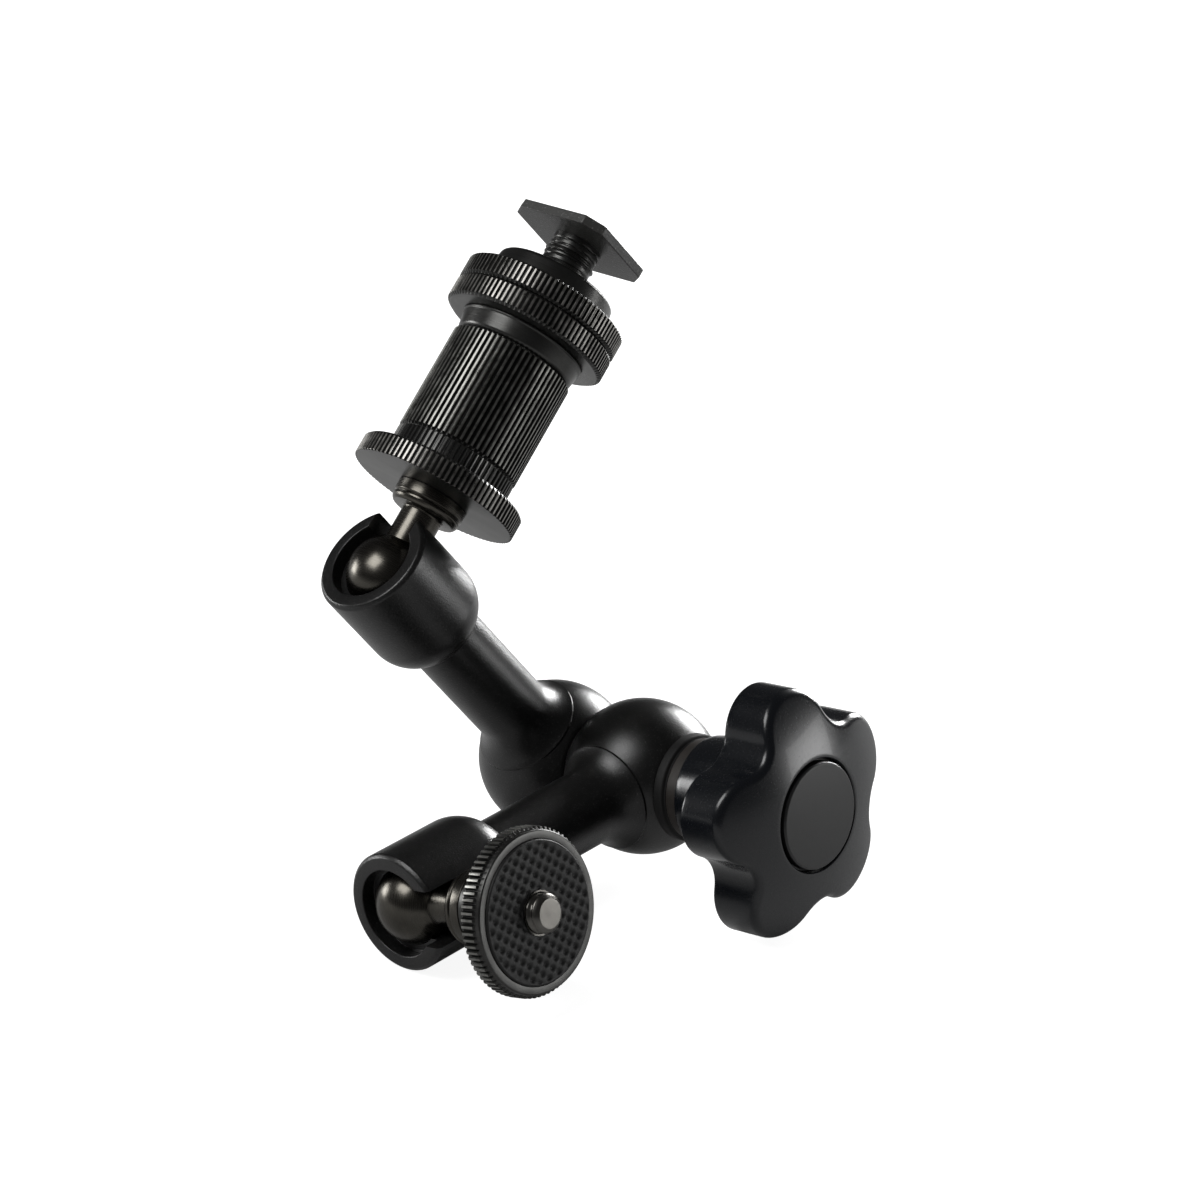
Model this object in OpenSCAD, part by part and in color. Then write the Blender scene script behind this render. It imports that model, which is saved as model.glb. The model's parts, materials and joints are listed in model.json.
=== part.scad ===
// Articulating friction arm, built as it lies on a table.
// Two equal tubes turn about one centre bolt, and a ball stud sits in the slotted cup at each far end.
// All sizes are in millimetres. One knob on the centre bolt locks the pivot and both balls.

/* [Arms] */
// Distance from a hub centre to the ball centre of the same arm
arm_length = 53.36; // [48:0.01:70]
// Outer radius of each round hub
hub_r = 13; // [12.4:0.1:14]
// Outer radius of the arm tubes
tube_r = 6.33; // [5.8:0.01:6.8]
// Angle between the two arms as stored
arms_angle = 54.585; // [30:0.001:120]
// Thickness of the washer between the two hubs
washer_t = 0.4; // [0.3:0.1:0.8]

/* [Sockets] */
// Outer radius of each ball socket cup
cup_r = 9.8; // [9.4:0.1:10.4]
// Radius of the ball on each stud
ball_r = 6.62; // [6.4:0.01:6.9]
// Radius of the neck between the ball and its collar
neck_r = 3.45; // [3:0.05:3.6]
// Width of the slot in each cup
slot_w = 9.4; // [8.8:0.1:9.8]
// Turn of the slot in the first cup about its arm
slot_turn_a = 89; // [85:0.5:93]
// Turn of the slot in the second cup about its arm
slot_turn_b = -176; // [-180:0.5:-170]

/* [Stored pose] */
// Lean of the shoe stack away from the line of its arm
lean_a = 83.693; // [80:0.001:90]
// Turn of the shoe stack about its arm
turn_a = 84.585; // [83:0.001:95]
// Lean of the screw stack away from the line of its arm
lean_b = 91.739; // [80:0.001:92]
// Turn of the screw stack about its arm
turn_b = -172.73; // [-180:0.01:-172]

/* [Shoe stack] */
// Outer radius of the locking disc under the barrel
disc_a_r = 14.4; // [13:0.1:16]
// Thickness of the locking disc under the barrel
disc_a_t = 3.7; // [3:0.1:5]
// Outer radius of the knurled barrel
barrel_r = 10.6; // [10:0.1:12]
// Length of the knurled barrel
barrel_len = 22.55; // [18:0.05:30]
// Outer radius of the two ring nuts
ring_r = 14.2; // [13:0.1:16]
// Height of the knurled flange of a ring nut
ring_flange_t = 4; // [3:0.1:5]
// Height of the smooth boss of a ring nut
ring_boss_t = 3.6; // [3:0.1:5]
// Radius of the stud that carries the shoe foot
shoe_stud_r = 4.2; // [3.8:0.1:4.5]
// Width of the square shoe foot
shoe_w = 18.6; // [18.3:0.1:18.6]
// Thickness of the shoe foot
shoe_t = 1.6; // [1.4:0.1:2]
// Free height between the upper ring nut and the shoe foot
shoe_gap = 7.05; // [5:0.05:9]

/* [Screw stack] */
// Outer radius of the padded locking disc
disc_b_r = 13.05; // [12.5:0.05:14.5]
// Radius of the round rubber pad
pad_r = 11.14; // [10:0.01:11.5]
// Major radius of the quarter inch screw
screw_r = 3.175; // [3.1:0.005:3.2]
// Distance from the ball centre to the tip of the screw
screw_tip_s = 28.65; // [27.5:0.05:30]

/* [Knob] */
// Distance from the knob axis to the centre of each lobe
lobe_at = 13.6; // [13:0.1:14.5]
// Radius of each lobe
lobe_r = 7.25; // [6.8:0.05:7.3]
// Depth of the lobed part of the knob along its axis
lobe_depth = 16.6; // [14:0.1:18]
// Radius of the round cap in the front of the knob
cap_r = 8.7; // [7.5:0.1:9]
// Turn of the first lobe about the knob axis
knob_turn = 38; // [0:1:71]

/* [Hidden] */
$fn = 96;

// Clearances
face_gap = 0.05;
fit_gap = 0.02;
run_gap = 0.06;
ball_gap = 0.08;

// The arm as it lies: turns of the pivot frame, and the pivot's place over the floor
pose_x = -77.58255;
pose_y = -47.70251;
pose_z = -141.92698;
pivot_at = [0.908, 22.755, 14.454];

// Hubs
hub_face = hub_r - 3.15;
hub_step = hub_face + washer_t / 2 + face_gap;
hub_outer_face = hub_r - 2.9;
flare_r = 9;
flare_fillet = 7;
flare_at = 15.3;
bolt_r = 2.5;
plug_r = 6;
plug_depth = 3;
bolt_head_r = 4.6;
bolt_head_t = 2.2;
bolt_head_s = -hub_step - hub_outer_face + 0.4;
wedge_tip_s = -4.6;
wedge_tip_r = 3.15;
wedge_base_r = 4.5;
wedge_bore_r = wedge_base_r + 0.2;
thrust_r = 8.2;
rod_r = 1.9;
rod_tip_z = 3.95;
rod_gap = 0.1;

// Sockets, measured along the arm from the ball centre
mouth_s = 4.97;
mouth_r = 9.23;
lip_s = 2.4;
mouth_bore_r = 7.23;
cup_body_s = -10;
cup_back_s = -15.1;
cup_back_r = 7.6;
cup_shoulder_s = cup_body_s + 0.6;
cup_shoulder_r = (pow(cup_r - cup_back_r, 2) + pow(cup_shoulder_s - cup_back_s, 2)) / (2 * (cup_r - cup_back_r));
chamber_s = -9.5;
seat_back_s = -9;
seat_front_s = -4.1;
cavity_r = ball_r + ball_gap;

// Shoe stack, measured along the stud from the ball centre
collar_s = 11.5;
collar_top_s = 14.88;
collar_r = 6.1;
disc_a_s = collar_top_s + face_gap;
barrel_s = disc_a_s + disc_a_t + face_gap;
barrel_top_s = barrel_s + barrel_len;
band_h = 3.7;
screw_a_tip_s = 25;
ring_a_s = barrel_top_s + face_gap;
ring_h = ring_flange_t + ring_boss_t;
ring_b_s = ring_a_s + ring_h + face_gap;
ring_top_s = ring_b_s + ring_h;
shoe_s = ring_top_s + shoe_gap;
stud_foot_s = 31;
shoe_chamfer = 2.7;
shoe_twist = 7;
boss_r = 10.5;

// Screw stack
disc_b_back_s = 22.3;
disc_b_front_s = 26;
disc_b_hub_r = 6;
pad_recess = 0.9;
pad_proud = 0.3;
pad_bore_r = screw_r + 0.35;
pad_washer_proud = 0.3;
screw_tip_r = 2.3;
screw_tip_h = 0.9;
screw_relief_r = 2.75;
screw_relief_h = 0.5;
screw_end_s = disc_b_front_s + pad_proud + pad_washer_proud + 0.1;

// Knob, measured along the bolt from the pivot
knob_washer_s = hub_step + hub_outer_face + face_gap;
knob_washer_t = 2;
knob_washer_r = 8;
sleeve_s = knob_washer_s + knob_washer_t + face_gap;
sleeve_t = 4;
sleeve_r = 8.4;
knob_s = sleeve_s + 2.2;
cone_back_r = 9.2;
cone_front_r = 12.4;
cone_h = 7;
knob_skirt_s = knob_s + cone_h;
dome_r = 42;
knob_top_s = knob_skirt_s + lobe_depth + 0.4;
bolt_end_s = knob_top_s - 6.5;
insert_r = 4.6;
cap_s = knob_top_s - 3.3;
cap_top_s = knob_top_s - 0.5;
cap_flange_r = cap_r + 0.5;
cap_flange_t = 1;
valley_at = 20.8;
valley_cut_r = sqrt(pow(lobe_at * sin(36), 2) + pow(valley_at - lobe_at * cos(36), 2)) - lobe_r - 0.05;

// Knurls
disc_a_teeth = 96;
ring_teeth = 96;
barrel_teeth = 66;
disc_b_teeth = 80;
knurl_depth = 0.45;

// Frames

// The pivot: Z along the bolt towards the knob, X along the first arm
module at_pivot() {
    translate(pivot_at) rotate([pose_x, pose_y, pose_z]) children();
}

// An arm: Z along its tube from the hub centre, X towards the other hub
module at_arm_a() {
    at_pivot() translate([0, 0, -hub_step]) rotate([180, -90, 0]) children();
}

module at_arm_b() {
    at_pivot() translate([0, 0, hub_step]) rotate([0, 0, arms_angle]) rotate([0, 90, 0]) children();
}

// A ball: Z along the stud from the ball centre
module at_ball_a() {
    at_arm_a() translate([0, 0, arm_length]) rotate([0, lean_a, turn_a]) children();
}

module at_ball_b() {
    at_arm_b() translate([0, 0, arm_length]) rotate([0, lean_b, turn_b]) children();
}

// Shared shapes

// A round post from one height to another
module post(r, from, to) {
    translate([0, 0, from]) cylinder(r = r, h = to - from);
}

// A straight knurl: teeth with narrow flat tops round a prism
module knurl(r, teeth, depth, from, to) {
    step = 360 / teeth;
    translate([0, 0, from])
        linear_extrude(height = to - from)
            polygon([for (i = [0 : teeth - 1]) for (k = [0 : 2])
                (k < 2 ? r : r - depth) * [cos((i + k * 0.3) * step + (k == 2 ? 0.05 * step : 0)),
                                           sin((i + k * 0.3) * step + (k == 2 ? 0.05 * step : 0))]]);
}

// Arms

module arm() {
    difference() {
        union() {
            sphere(r = hub_r);
            post(tube_r, 0, arm_length + chamber_s);
            rotate_extrude() {
                difference() {
                    square([flare_r, flare_at]);
                    translate([tube_r + flare_fillet, flare_at]) circle(r = flare_fillet);
                }
            }
        }
        // The face towards the other hub and the outer face
        translate([hub_face, -hub_r, -hub_r]) cube(hub_r * 2);
        translate([-hub_outer_face - 2 * hub_r, -hub_r, -hub_r]) cube(hub_r * 2);
        // The bolt hole, the wedge room and the rod bore
        rotate([0, -90, 0]) post(bolt_r + run_gap, -hub_r, hub_r);
        rotate([0, 90, 0]) post(wedge_bore_r, wedge_tip_s - 0.4, hub_r);
        post(rod_r + rod_gap, 0, arm_length);
    }
}

module arm_a() {
    color("#26282a") at_arm_a() difference() {
        arm();
        rotate([0, -90, 0]) post(plug_r + fit_gap, hub_outer_face - plug_depth, hub_r);
    }
}

module arm_b() {
    color("#26282a") at_arm_b() arm();
}

// A point of the cup's round shoulder, a share of the way from its back edge to its straight wall
function cup_shoulder(share) =
    let (down = (1 - share) * (cup_shoulder_s - cup_back_s))
    [cup_r - cup_shoulder_r + sqrt(pow(cup_shoulder_r, 2) - pow(down, 2)), cup_shoulder_s - down];

// A cup with a spherical room for the ball, a lip at its mouth and one slot down its side
module socket_cup(slot_turn) {
    difference() {
        rotate_extrude() polygon(concat(
            [[tube_r + fit_gap, cup_back_s], [cup_back_r, cup_back_s]],
            [for (k = [1 : 4]) cup_shoulder(k / 5)],
            [
                [cup_r, cup_shoulder_s],
                [cup_r, mouth_s - 0.6],
                [mouth_r, mouth_s],
                [mouth_bore_r, mouth_s],
                [mouth_bore_r, lip_s],
                [cavity_r - 0.6, lip_s],
                [cavity_r - 0.6, chamber_s],
                [tube_r + fit_gap, chamber_s]
            ]
        ));
        sphere(r = cavity_r);
        post(cavity_r, chamber_s, 0);
        rotate([0, 0, slot_turn]) rotate([90, 0, 90]) linear_extrude(height = cup_r + 1) {
            circle(r = slot_w / 2);
            translate([-slot_w / 2, 0]) square([slot_w, mouth_s + 1]);
        }
    }
}

module socket_cup_a() {
    color("#26282a") at_arm_a() translate([0, 0, arm_length]) socket_cup(slot_turn_a);
}

module socket_cup_b() {
    color("#26282a") at_arm_b() translate([0, 0, arm_length]) socket_cup(slot_turn_b);
}

// The seat that the rod presses against the ball
module ball_seat() {
    translate([0, 0, arm_length]) difference() {
        post(cavity_r - run_gap, seat_back_s, seat_front_s);
        sphere(r = cavity_r);
    }
}

module ball_seat_a() {
    color("#b9a878") at_arm_a() ball_seat();
}

module ball_seat_b() {
    color("#b9a878") at_arm_b() ball_seat();
}

module push_rod() {
    post(rod_r, rod_tip_z + rod_r, arm_length + seat_back_s - face_gap);
    translate([0, 0, rod_tip_z + rod_r]) sphere(r = rod_r);
}

module push_rod_a() {
    color("#9a9a98") at_arm_a() push_rod();
}

module push_rod_b() {
    color("#9a9a98") at_arm_b() push_rod();
}

// A cone on the bolt that drives the rod outward
module wedge_cone() {
    rotate([0, 90, 0]) difference() {
        translate([0, 0, wedge_tip_s])
            cylinder(r1 = wedge_tip_r, r2 = wedge_base_r, h = hub_face - 0.4 - wedge_tip_s);
        post(bolt_r + run_gap, -hub_r, hub_r);
    }
}

module wedge_cone_a() {
    color("#9a9a98") at_arm_a() wedge_cone();
}

module wedge_cone_b() {
    color("#9a9a98") at_arm_b() wedge_cone();
}

// Centre bolt

module draw_bolt() {
    color("#8c8c8a") at_pivot() {
        post(bolt_r, bolt_head_s + 2, bolt_end_s);
        post(bolt_head_r, bolt_head_s, bolt_head_s + bolt_head_t);
    }
}

module end_plug() {
    outer_face = -hub_step - hub_outer_face;
    color("#1d1e20") at_pivot() difference() {
        post(plug_r, outer_face + 0.1, outer_face + plug_depth);
        post(bolt_head_r + fit_gap, bolt_head_s - fit_gap, bolt_head_s + bolt_head_t + fit_gap);
        post(bolt_r + fit_gap, bolt_head_s, 0);
    }
}

module thrust_washer() {
    color("#141415") at_pivot() difference() {
        post(thrust_r, -washer_t / 2, washer_t / 2);
        post(bolt_r + run_gap, -1, 1);
    }
}

// Knob

module knob_washer() {
    color("#101011") at_pivot() difference() {
        post(knob_washer_r, knob_washer_s, knob_washer_s + knob_washer_t);
        post(bolt_r + run_gap, 0, knob_top_s);
    }
}

module knob_sleeve() {
    color("#3a3531") at_pivot() difference() {
        post(sleeve_r, sleeve_s, sleeve_s + sleeve_t);
        post(insert_r + run_gap, sleeve_s + 1.2, knob_top_s);
        post(bolt_r + run_gap, 0, knob_top_s);
    }
}

// Five round lobes joined by round valleys
module knob_outline() {
    difference() {
        union() {
            for (i = [0 : 4]) rotate(i * 72) translate([lobe_at, 0]) circle(r = lobe_r);
            polygon([for (i = [0 : 9])
                (i % 2 == 0 ? lobe_at : valley_at) * [cos(i * 36), sin(i * 36)]]);
        }
        for (i = [0 : 4]) rotate(i * 72 + 36) translate([valley_at, 0]) circle(r = valley_cut_r);
    }
}

module knob() {
    color("#17191d") at_pivot() rotate([0, 0, knob_turn]) difference() {
        union() {
            intersection() {
                translate([0, 0, knob_skirt_s])
                    linear_extrude(height = lobe_depth + 1) knob_outline();
                translate([0, 0, knob_top_s - dome_r]) sphere(r = dome_r);
            }
            translate([0, 0, knob_s]) 
                cylinder(r1 = cone_back_r, r2 = cone_front_r, h = cone_h + 0.5);
        }
        // Room for the sleeve, the insert and the cap
        post(sleeve_r + face_gap, 0, sleeve_s + sleeve_t + face_gap);
        post(insert_r + fit_gap, sleeve_s, cap_s);
        post(cap_flange_r + fit_gap, cap_s - fit_gap, knob_top_s + 1);
    }
}

module knob_insert() {
    color("#b08d4a") at_pivot() difference() {
        post(insert_r, sleeve_s + 1.3, cap_s - 0.2);
        post(bolt_r + run_gap, sleeve_s, bolt_end_s + 1);
    }
}

module knob_cap() {
    color("#1b1d20") at_pivot() {
        post(cap_r, cap_s + cap_flange_t, cap_top_s);
        post(cap_flange_r, cap_s, cap_s + cap_flange_t);
    }
}

// Shoe stack

// The ball, its neck and the collar above it
module ball_and_collar() {
    sphere(r = ball_r);
    rotate_extrude() polygon([
        [0, 0],
        [neck_r, 0],
        [neck_r, collar_s],
        [5.45, collar_s],
        [5.75, collar_s + 0.35],
        [5.95, collar_s + 0.75],
        [5.95, collar_s + 1.15],
        [5.75, collar_s + 1.35],
        [6.0, collar_s + 1.6],
        [collar_r, collar_top_s],
        [0, collar_top_s]
    ]);
}

module ball_stud_a() {
    color("#5b564f") at_ball_a() {
        ball_and_collar();
        post(screw_r, collar_top_s - 1, screw_a_tip_s);
    }
}

module locking_disc_a() {
    color("#4a4b4c") at_ball_a() difference() {
        union() {
            knurl(disc_a_r, disc_a_teeth, knurl_depth, disc_a_s + 0.25, disc_a_s + disc_a_t - 0.45);
            translate([0, 0, disc_a_s]) cylinder(r1 = disc_a_r - 0.6, r2 = disc_a_r - 0.3, h = 0.3);
            translate([0, 0, disc_a_s + disc_a_t - 0.5])
                cylinder(r1 = disc_a_r - 0.3, r2 = disc_a_r - 0.8, h = 0.5);
        }
        post(screw_r + run_gap, disc_a_s - 1, barrel_s + 1);
    }
}

module knurled_barrel() {
    color("#4a4b4c") at_ball_a() difference() {
        union() {
            post(barrel_r - 0.1, barrel_s, barrel_s + band_h);
            knurl(barrel_r, barrel_teeth, 0.5, barrel_s + band_h, barrel_top_s);
        }
        post(screw_r + run_gap, barrel_s - 1, stud_foot_s - 1);
        post(shoe_stud_r + fit_gap, stud_foot_s - fit_gap, barrel_top_s + 1);
    }
}

module shoe_stud() {
    color("#3c3b39") at_ball_a() {
        post(shoe_stud_r, stud_foot_s, shoe_s);
    }
}

// A ring nut: a knurled flange on a smooth boss
module ring_nut() {
    difference() {
        union() {
            translate([0, 0, 0.3]) cylinder(r1 = boss_r - 0.2, r2 = boss_r + 0.3, h = ring_boss_t + 0.2);
            cylinder(r1 = boss_r - 0.7, r2 = boss_r - 0.2, h = 0.3);
            knurl(ring_r, ring_teeth, knurl_depth, ring_boss_t + 0.3, ring_h - 0.3);
            translate([0, 0, ring_boss_t]) cylinder(r1 = ring_r - 0.7, r2 = ring_r - 0.35, h = 0.35);
            translate([0, 0, ring_h - 0.35]) cylinder(r1 = ring_r - 0.35, r2 = ring_r - 0.7, h = 0.35);
        }
        post(shoe_stud_r + run_gap, -1, ring_h + 1);
    }
}

module lower_ring_nut() {
    color("#4a4b4c") at_ball_a() translate([0, 0, ring_a_s]) ring_nut();
}

module upper_ring_nut() {
    color("#4a4b4c") at_ball_a() translate([0, 0, ring_top_s]) mirror([0, 0, 1]) ring_nut();
}

// The square foot that slides into an accessory shoe
module shoe_plate() {
    half = shoe_w / 2;
    cut = half - shoe_chamfer;
    color("#6a6a66") at_ball_a() rotate([0, 0, shoe_twist]) translate([0, 0, shoe_s])
        linear_extrude(height = shoe_t) polygon([
            [half, cut], [cut, half], [-cut, half], [-half, cut],
            [-half, -cut], [-cut, -half], [cut, -half], [half, -cut]
        ]);
}

// Screw stack

module ball_stud_b() {
    color("#5b564f") at_ball_b() {
        ball_and_collar();
        // A relief in the thread, hidden in the washer, starts the end that stands free
        post(screw_r, collar_top_s - 1, screw_end_s - screw_relief_h);
        post(screw_relief_r, collar_top_s, screw_end_s);
        post(screw_r, screw_end_s, screw_tip_s - screw_tip_h);
        translate([0, 0, screw_tip_s - screw_tip_h])
            cylinder(r1 = screw_r, r2 = screw_tip_r, h = screw_tip_h);
    }
}

module locking_disc_b() {
    front = disc_b_front_s;
    color("#3b3c3d") at_ball_b() difference() {
        union() {
            knurl(disc_b_r, disc_b_teeth, 0.55, disc_b_back_s + 0.3, front - 0.7);
            translate([0, 0, disc_b_back_s]) cylinder(r1 = disc_b_r - 0.9, r2 = disc_b_r - 0.5, h = 0.3);
            translate([0, 0, front - 0.7]) cylinder(r1 = disc_b_r - 0.35, r2 = disc_b_r - 0.6, h = 0.7);
            post(disc_b_hub_r, collar_top_s + face_gap, disc_b_back_s + 0.3);
        }
        post(screw_r + run_gap, collar_top_s, front + 1);
        post(pad_r + fit_gap, front - pad_recess, front + 1);
    }
}

module rubber_pad() {
    color("#2c2d2e") at_ball_b() difference() {
        post(pad_r, disc_b_front_s - pad_recess, disc_b_front_s + pad_proud);
        post(pad_bore_r, disc_b_front_s - 2, disc_b_front_s + 2);
    }
}

module pad_washer() {
    color("#7b7a76") at_ball_b() difference() {
        post(pad_bore_r - face_gap, disc_b_front_s - pad_recess, disc_b_front_s + pad_proud + pad_washer_proud);
        post(screw_r + run_gap, disc_b_front_s - 2, disc_b_front_s + 2);
    }
}

arm_a();
arm_b();
socket_cup_a();
socket_cup_b();
ball_seat_a();
ball_seat_b();
push_rod_a();
push_rod_b();
wedge_cone_a();
wedge_cone_b();
draw_bolt();
end_plug();
thrust_washer();
knob_washer();
knob_sleeve();
knob();
knob_insert();
knob_cap();
ball_stud_a();
locking_disc_a();
knurled_barrel();
shoe_stud();
lower_ring_nut();
upper_ring_nut();
shoe_plate();
ball_stud_b();
locking_disc_b();
rubber_pad();
pad_washer();
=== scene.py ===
import json
import math
import bpy
import numpy as np
from mathutils import Matrix


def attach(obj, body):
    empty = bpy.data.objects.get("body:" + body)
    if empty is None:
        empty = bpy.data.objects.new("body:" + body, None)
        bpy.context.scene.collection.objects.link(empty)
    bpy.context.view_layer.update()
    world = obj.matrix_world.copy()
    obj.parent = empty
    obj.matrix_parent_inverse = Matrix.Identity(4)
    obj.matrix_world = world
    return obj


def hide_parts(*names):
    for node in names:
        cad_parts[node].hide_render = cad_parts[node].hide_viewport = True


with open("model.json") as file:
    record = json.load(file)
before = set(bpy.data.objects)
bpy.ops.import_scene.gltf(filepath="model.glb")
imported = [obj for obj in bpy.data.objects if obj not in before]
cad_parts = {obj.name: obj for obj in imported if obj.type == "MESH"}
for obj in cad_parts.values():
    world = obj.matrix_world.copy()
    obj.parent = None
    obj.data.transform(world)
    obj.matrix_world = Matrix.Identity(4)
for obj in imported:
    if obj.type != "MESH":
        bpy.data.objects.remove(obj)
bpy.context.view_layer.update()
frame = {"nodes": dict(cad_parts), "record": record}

# %% [markdown]
# The arm in its own words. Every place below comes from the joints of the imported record, so the
# dressed pieces stay on their solids. Lengths are written in millimetres and turned to metres once,
# when a mesh is made.

# %% Places read from the frame
record = frame["record"]
joints = {j["name"]: j for j in record["behaviour"]["joints"]}
MM = 0.001


def unit(v):
    """A vector divided by its own length."""
    v = np.asarray(v, float)
    return v / np.linalg.norm(v)


def place(origin, z, x):
    """A 3 by 4 placement in millimetres: columns are the local X, Y and Z directions and the origin.
    Z is kept, X is made square to it by taking away its share along Z, and Y is Z cross X."""
    z = unit(z)
    x = unit(np.asarray(x) - z * np.dot(x, z))
    return np.column_stack([x, np.cross(z, x), z, origin])


def joint_at(name):
    """The point of a joint in millimetres."""
    return np.array(joints[name]["pos_m"]) * 1000


def joint_axis(name):
    """The direction of a joint."""
    return unit(joints[name]["axis"])


arm_length = 53.36
pivot = joint_at("arm_pivot")
bolt_dir = joint_axis("arm_pivot")
arm_dir_a, arm_dir_b = joint_axis("ball_a_turn"), joint_axis("ball_b_turn")
ball_a, ball_b = joint_at("ball_a_turn"), joint_at("ball_b_turn")
hub_a, hub_b = ball_a - arm_length * arm_dir_a, ball_b - arm_length * arm_dir_b
at_pivot = place(pivot, bolt_dir, arm_dir_a)
at_arm_a = place(hub_a, arm_dir_a, bolt_dir)
at_arm_b = place(hub_b, arm_dir_b, -bolt_dir)
lean_x_a = np.cross(joint_axis("ball_a_lean"), joint_axis("disc_a_turn"))
lean_x_b = np.cross(joint_axis("ball_b_lean"), joint_axis("disc_b_turn"))
at_stack_a = place(ball_a, joint_axis("disc_a_turn"), lean_x_a)
at_stack_b = place(ball_b, joint_axis("disc_b_turn"), lean_x_b)


def turned(at, angle):
    """The placement turned about its own Z by an angle in degrees."""
    c, s = math.cos(math.radians(angle)), math.sin(math.radians(angle))
    return np.column_stack([at[:, 0] * c + at[:, 1] * s, at[:, 1] * c - at[:, 0] * s, at[:, 2], at[:, 3]])


# %% [markdown]
# Mesh makers. A piece is a grid of rings round its own axis: each ring is a closed loop of points,
# and neighbouring rings are joined by quads. The same few functions make the turned parts, the
# knurls, the threads and the star knob.

# %% Mesh makers
def ring_faces(rings, around):
    """Quads between each ring and the next. Vertex k of ring i is number i * around + k."""
    k = np.arange(around)
    nxt = (k + 1) % around
    faces = []
    for i in range(rings - 1):
        a, b = i * around, (i + 1) * around
        faces.append(np.column_stack([a + k, a + nxt, b + nxt, b + k]))
    return np.vstack(faces)


def new_object(name, points, quads, extra_faces=(), sharp=32, uv=None):
    """Makes a mesh object from points in metres and faces, shades it smooth, and marks as sharp
    every edge whose two faces meet at more than the given angle."""
    mesh = bpy.data.meshes.new(name)
    mesh.from_pydata(points.tolist(), [], quads.tolist() + [list(f) for f in extra_faces])
    mesh.polygons.foreach_set("use_smooth", [True] * len(mesh.polygons))
    if uv is not None:
        layer = mesh.uv_layers.new(name="own")
        loops = np.empty(len(mesh.loops), np.int32)
        mesh.loops.foreach_get("vertex_index", loops)
        layer.data.foreach_set("uv", uv[loops].astype(np.float32).ravel())
    mesh.validate()
    mesh.update()
    mesh.set_sharp_from_angle(angle=math.radians(sharp))
    obj = bpy.data.objects.new(name, mesh)
    bpy.context.scene.collection.objects.link(obj)
    return obj


def from_rings(name, at, radius, height, turn, close=(True, True), sharp=32):
    """A closed piece from ring grids. radius and height are arrays of rings by points, and turn is the
    angle of each point in radians. A point is X cos(turn) r + Y sin(turn) r + Z height + origin.
    The first and last ring are closed by a flat face each, which is left out where close is false."""
    rings, around = radius.shape
    x, y, z, o = at.T
    local = ((radius * np.cos(turn))[..., None] * x + (radius * np.sin(turn))[..., None] * y
             + height[..., None] * z + o)
    points = local.reshape(-1, 3) * MM
    quads = ring_faces(rings, around)
    caps = []
    if close[0]:
        caps.append(tuple(range(around - 1, -1, -1)))
    if close[1]:
        caps.append(tuple(range((rings - 1) * around, rings * around)))
    uv = np.column_stack([np.broadcast_to(turn, radius.shape).ravel() / (2 * np.pi), height.ravel() / 10])
    return new_object(name, points, quads, caps, sharp, uv)


def corner_arc(before_pt, at_pt, after_pt, size, steps=5):
    """Points of a curve that rounds a corner: it leaves and meets the two sides at the given distance
    from the corner, as a quadratic curve (1-t)^2 A + 2t(1-t) C + t^2 B with the corner as C."""
    a, c, b = (np.array(p, float) for p in (before_pt, at_pt, after_pt))
    la, lb = np.linalg.norm(a - c), np.linalg.norm(b - c)
    size = min(size, 0.49 * la, 0.49 * lb)
    start, end = c + (a - c) / la * size, c + (b - c) / lb * size
    t = np.linspace(0, 1, steps)[:, None]
    return ((1 - t) ** 2 * start + 2 * t * (1 - t) * c + t ** 2 * end).tolist()


def soft_profile(corners):
    """A profile from corners (height, radius, rounding): each corner with a rounding becomes an arc."""
    out = []
    for i, (s, r, size) in enumerate(corners):
        if size and 0 < i < len(corners) - 1:
            out += corner_arc(corners[i - 1][:2], (s, r), corners[i + 1][:2], size)
        else:
            out.append([s, r])
    return np.array(out)


def refined(profile, step):
    """The same profile with points added so that none are further apart along it than the step."""
    out = [profile[0]]
    for p, q in zip(profile[:-1], profile[1:]):
        n = max(1, int(math.ceil(np.linalg.norm(q - p) / step)))
        for i in range(1, n + 1):
            out.append(p + (q - p) * i / n)
    return np.array(out)


def lathe(name, at, corners, around=160, sharp=32):
    """A turned piece. The profile runs once round the section; where it starts and ends at the same
    bore radius the piece is a ring, and the bore is closed by a last wall."""
    prof = soft_profile(corners)
    bore = corners[0][1] > 0.01 and corners[-1][1] > 0.01
    if bore:
        prof = np.vstack([prof, prof[:1]])
    turn = np.linspace(0, 2 * np.pi, around, endpoint=False)
    radius = np.repeat(np.maximum(prof[:, 1:2], 0.02), around, 1)
    height = np.repeat(prof[:, 0:1], around, 1)
    return from_rings(name, at, radius, height, turn, (not bore, not bore), sharp)


def knurled(name, at, corners, teeth, outer, depth, land=0.34, sharp=20):
    """A turned piece with a straight knurl. The wall is cut to the tooth form wherever it is wider:
    r = min(profile, outer - depth * g), where g runs 0 on the land, up to 1 in the groove and back."""
    stops = np.array([0, land * 0.5, land, land + 0.14, 0.55 + land * 0.2, 0.72, 0.86])
    cut = np.array([0.0, 0.0, 0.06, 0.55, 1.0, 1.0, 0.5])
    turn = ((np.arange(teeth)[:, None] + stops) * 2 * np.pi / teeth).ravel()
    groove = np.tile(cut, teeth)
    prof = soft_profile(corners)
    prof = np.vstack([prof, prof[:1]])
    radius = np.minimum(prof[:, 1:2], outer - depth * groove)
    height = np.repeat(prof[:, 0:1], len(turn), 1)
    obj = from_rings(name, at, radius, height, turn, (False, False), sharp)
    ribbed = (prof[:-1, 1] > outer - 0.1) & (prof[1:, 1] > outer - 0.1)
    for face in obj.data.polygons:
        face.material_index = int(ribbed[min(face.index // len(turn), len(ribbed) - 1)])
    return obj


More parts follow.
